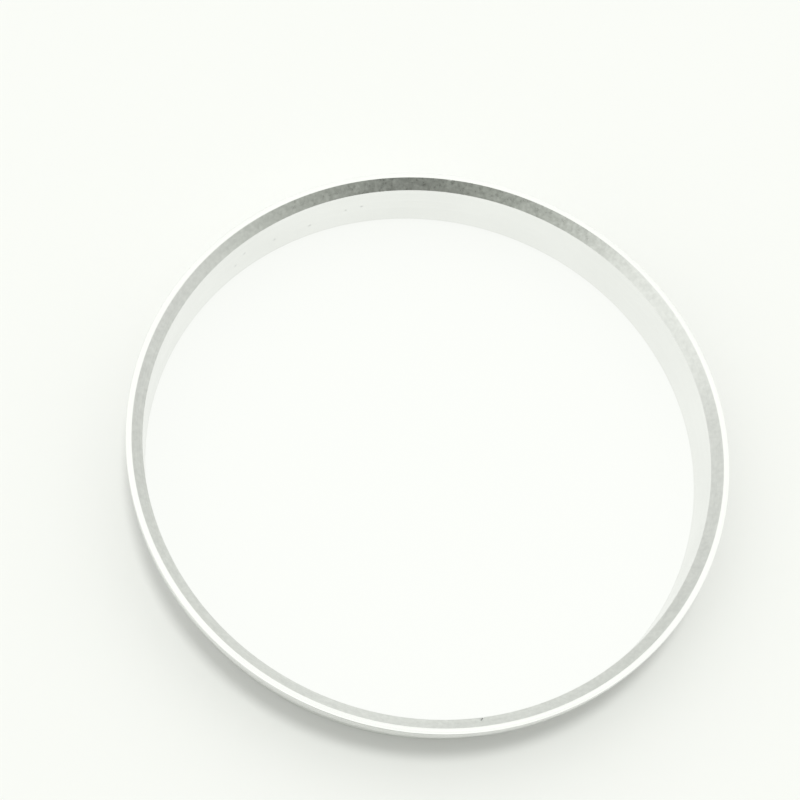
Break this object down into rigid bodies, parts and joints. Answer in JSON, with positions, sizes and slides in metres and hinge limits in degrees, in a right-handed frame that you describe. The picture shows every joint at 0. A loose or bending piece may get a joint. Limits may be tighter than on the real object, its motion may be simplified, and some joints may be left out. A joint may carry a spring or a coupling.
{
  "type": "hub centric ring",
  "caption": "Thin turned aluminium ring that fills the gap between a wheel's centre bore and a smaller hub spigot, with a chamfered bore, a short register and a tapered nose.",
  "frame": {"origin": "centre of the ring on the plane of its nose end, which it lies on", "axes": "+Z along the bore axis, from the nose end up to the thick seat end; X and Y are free, because the ring is round"},
  "size_m": [0.1062, 0.1062, 0.012],
  "materials": {
    "aluminium": "fine turned, bright satin"
  },
  "bodies": {
    "root": {"hub_ring": "aluminium"}
  },
  "joints": []
}
